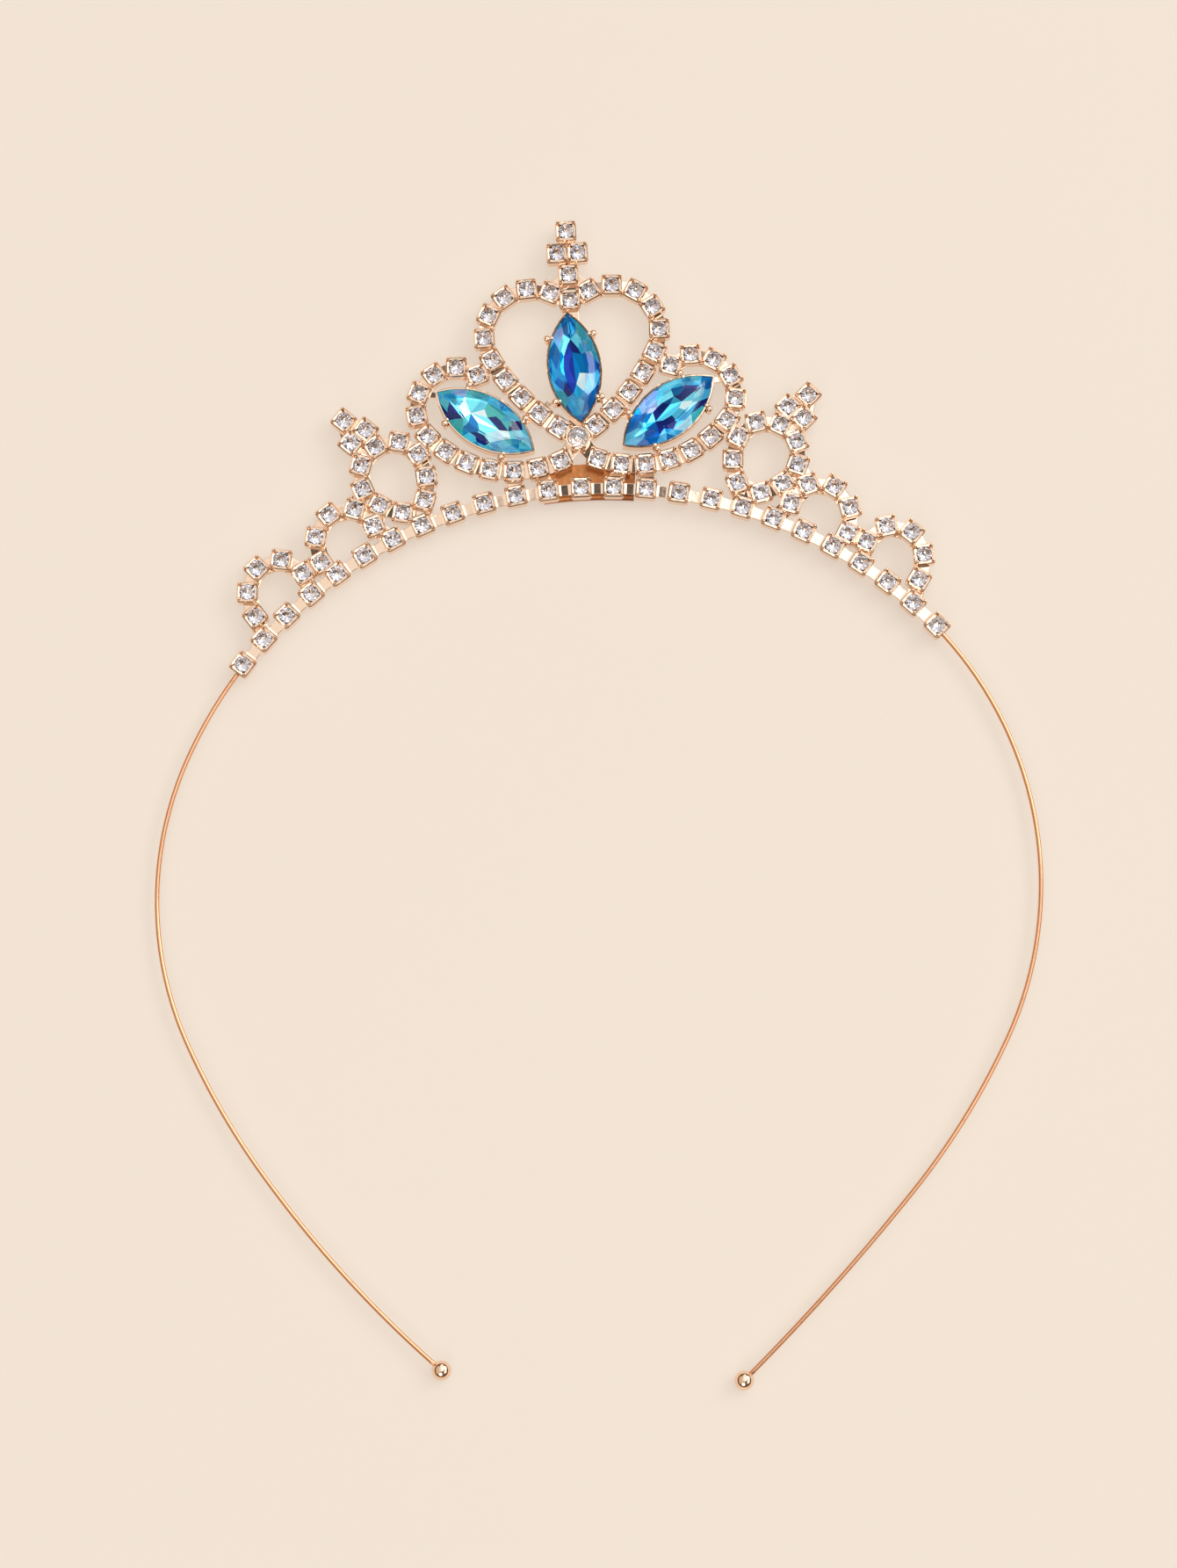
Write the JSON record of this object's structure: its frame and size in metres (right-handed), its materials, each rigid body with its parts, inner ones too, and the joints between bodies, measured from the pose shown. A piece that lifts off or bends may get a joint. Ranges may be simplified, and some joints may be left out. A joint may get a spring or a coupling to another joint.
{
  "type": "mini crown headband",
  "caption": "Thin wire headband with ball tips, carrying a small openwork crown of square stone cups and pointed oval blue stones.",
  "frame": {"origin": "centre of the outline in X and Y, on the flat surface that the headband lies on", "axes": "+X to the crown's right as the picture shows it, +Y from the ball tips towards the top of the crown, +Z out of the crown's face"},
  "size_m": [0.1371, 0.1835, 0.005],
  "materials": {
    "rose_gold": "polished rose gold plating",
    "copper": "polished, in a darker copper tone",
    "crystal": "clear faceted stones with a foiled back",
    "aqua_blue": "bright blue faceted stones with a foiled back"
  },
  "bodies": {
    "root": {"crown_frame": "rose_gold", "band_wire": "rose_gold", "tip_ball_left": "rose_gold", "tip_ball_right": "rose_gold", "back_plate": "copper", "marquise_stone_centre": "aqua_blue", "marquise_stone_left": "aqua_blue", "marquise_stone_right": "aqua_blue", "round_stone": "crystal", "bottom_row_stones": "crystal", "heart_stones": "crystal", "top_cross_stones": "crystal", "scroll_stones_left": "crystal", "scroll_stones_right": "crystal", "ring_stones_left": "crystal", "ring_stones_right": "crystal", "side_cross_stones_left": "crystal", "side_cross_stones_right": "crystal", "inner_loop_stones_left": "crystal", "inner_loop_stones_right": "crystal", "outer_loop_stones_left": "crystal", "outer_loop_stones_right": "crystal"}
  },
  "joints": []
}
